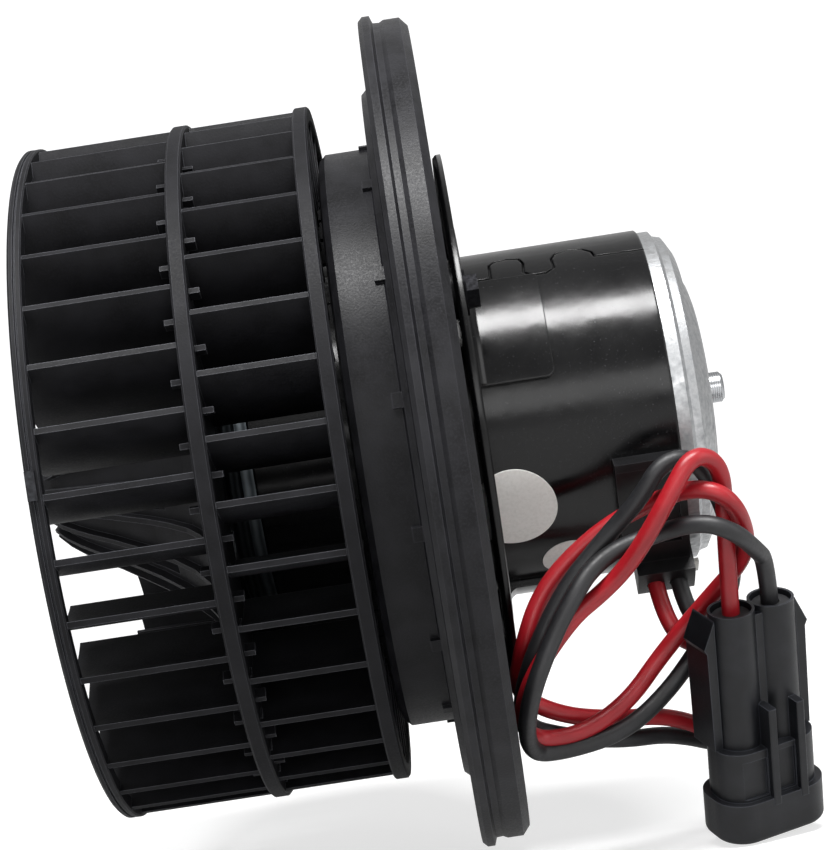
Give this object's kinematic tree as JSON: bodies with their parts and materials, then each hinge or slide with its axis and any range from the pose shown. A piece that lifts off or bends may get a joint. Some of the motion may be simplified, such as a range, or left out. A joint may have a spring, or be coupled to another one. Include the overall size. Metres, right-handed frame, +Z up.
{
  "type": "cabin blower motor",
  "caption": "Cabin blower motor: DC motor in a round moulded flange, squirrel-cage wheel on its shaft and a two-way plug on loose wires.",
  "frame": {"origin": "centre of the flange's seating face, on the shaft axis", "axes": "+X along the shaft from the wheel towards the motor's tail, +Z up in the picture, -Y towards the viewer"},
  "size_m": [0.1637, 0.1886, 0.1922],
  "materials": {
    "flange_plastic": "moulded talc-filled polypropylene, dusty satin",
    "isolator_rubber": "matt",
    "can_paint": "gloss black enamel on deep-rolled steel",
    "cap_zinc": "bright zinc plate",
    "bush_bronze": "oil-soaked sintered bronze",
    "ferrite": "sintered ferrite, matt",
    "spring_steel": "plain spring steel",
    "ring_paint": "gloss black enamel",
    "screw_zinc": "zinc plate",
    "label_paper": "white paper sticker, blank",
    "shaft_steel": "ground steel",
    "core_steel": "stacked electrical steel",
    "winding_copper": "enamelled copper wire",
    "commutator_copper": "turned copper",
    "washer_nylon": "plain nylon",
    "wheel_plastic": "moulded glass-filled polypropylene, satin",
    "card_laminate": "paper laminate board",
    "holder_brass": "pressed brass",
    "brush_carbon": "copper-graphite block",
    "block_plastic": "moulded nylon, satin",
    "terminal_tin": "tinned brass",
    "plug_plastic": "moulded nylon, satin dark grey",
    "seal_rubber": "silicone",
    "red_insulation": "glossy wire insulation",
    "black_insulation": "glossy wire insulation"
  },
  "bodies": {
    "stator": {"mounting_flange": "flange_plastic", "isolator_ring": "isolator_rubber", "motor_can": "can_paint", "tail_end_cap": "cap_zinc", "front_end_cap": "cap_zinc", "tail_bush": "bush_bronze", "front_bush": "bush_bronze", "magnet_upper": "ferrite", "magnet_lower": "ferrite", "magnet_spring_near": "spring_steel", "magnet_spring_far": "spring_steel", "mount_ring": "ring_paint", "ring_screw_1": "screw_zinc", "ring_screw_2": "screw_zinc", "ring_screw_3": "screw_zinc", "balance_label": "label_paper", "small_label": "label_paper", "brush_card": "card_laminate", "brush_holder_upper": "holder_brass", "brush_holder_lower": "holder_brass", "brush_upper": "brush_carbon", "brush_lower": "brush_carbon", "brush_spring_upper": "spring_steel", "brush_spring_lower": "spring_steel", "terminal_block": "block_plastic", "terminal_clip": "terminal_tin", "plug_housing": "plug_plastic", "plug_lock": "plug_plastic", "wire_seal_red": "seal_rubber", "wire_seal_black": "seal_rubber", "terminal_red": "terminal_tin", "terminal_black": "terminal_tin", "red_wire": "red_insulation", "black_wire": "black_insulation"},
    "rotor": {"shaft": "shaft_steel", "armature_core": "core_steel", "armature_windings": "winding_copper", "commutator": "commutator_copper", "thrust_washers": "washer_nylon", "wheel_inlet_row": "wheel_plastic", "wheel_motor_row": "wheel_plastic", "wheel_hub": "wheel_plastic", "wheel_clip": "spring_steel", "balance_clip": "spring_steel"}
  },
  "joints": [
    {"name": "rotor_spin", "type": "hinge", "parent": "stator", "child": "rotor", "pos_m": [0, 0, 0], "axis": [1, 0, 0], "continuous": true}
  ]
}
